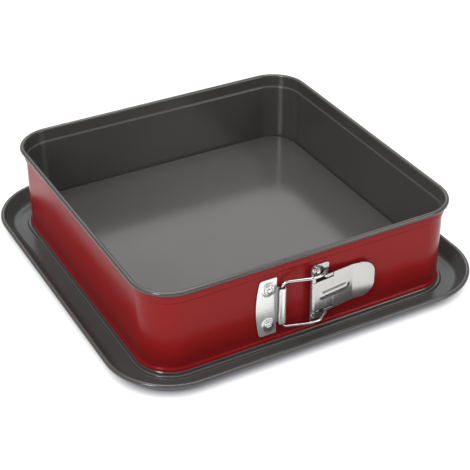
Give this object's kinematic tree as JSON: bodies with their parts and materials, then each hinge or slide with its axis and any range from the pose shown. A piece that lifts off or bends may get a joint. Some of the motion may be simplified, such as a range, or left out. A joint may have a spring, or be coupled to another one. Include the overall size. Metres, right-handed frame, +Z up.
{
  "type": "springform pan",
  "caption": "Square springform baking pan: a split ring wall with an over-centre wire latch, standing on a drip tray base with a raised floor.",
  "frame": {"origin": "centre of the tray's underside, on the table", "axes": "+Z up; the latch is on the -Y side; +X runs to the right along the latch wall, from the catch plate towards the lever's thumb tab"},
  "size_m": [0.288, 0.288, 0.0705],
  "materials": {
    "tray_coating": "dark grey non-stick coating, satin",
    "ring_coating": "deep red satin lacquer outside, dark grey non-stick coating inside",
    "rim_wire": "plain drawn wire",
    "latch_steel": "bright pressed steel",
    "rivet_steel": "plated, slightly dull",
    "bail_wire": "bright drawn wire"
  },
  "bodies": {
    "base": {"base_tray": "tray_coating", "tray_rim_wire": "rim_wire"},
    "ring_fixed": {"ring_fixed_side": "ring_coating", "rim_wire_fixed_side": "rim_wire", "lever_bracket": "latch_steel", "bracket_rivet_upper": "rivet_steel", "bracket_rivet_lower": "rivet_steel", "hinge_pin": "rivet_steel"},
    "ring_free": {"ring_free_side": "ring_coating", "rim_wire_free_side": "rim_wire", "catch_plate": "latch_steel", "catch_rivet_upper": "rivet_steel", "catch_rivet_lower": "rivet_steel"},
    "lever": {"lever": "latch_steel"},
    "bail": {"wire_bail": "bail_wire"}
  },
  "joints": [
    {"name": "ring_lift", "type": "slide", "parent": "base", "child": "ring_fixed", "axis": [0, 0, 1], "range_m": [0, 0.08]},
    {"name": "lever_swing", "type": "hinge", "parent": "ring_fixed", "child": "lever", "pos_m": [-0.0016, -0.1245, 0.0335], "axis": [0, 0, -1], "range_deg": [0, 68]},
    {"name": "ring_spring", "type": "hinge", "parent": "ring_fixed", "child": "ring_free", "pos_m": [-0.1239, 0.0947, 0.0335], "axis": [0, 0, -1], "range_deg": [0, 0.35]},
    {"name": "bail_swing", "type": "hinge", "parent": "lever", "child": "bail", "pos_m": [0.00933, -0.12325, 0.0335], "axis": [0, 0, -1], "range_deg": [-50, 0]}
  ],
  "couplings": [
    {"joint": "ring_spring", "follows": "lever_swing", "ratio": 0.0045},
    {"joint": "bail_swing", "follows": "lever_swing", "ratio": -0.7325}
  ]
}
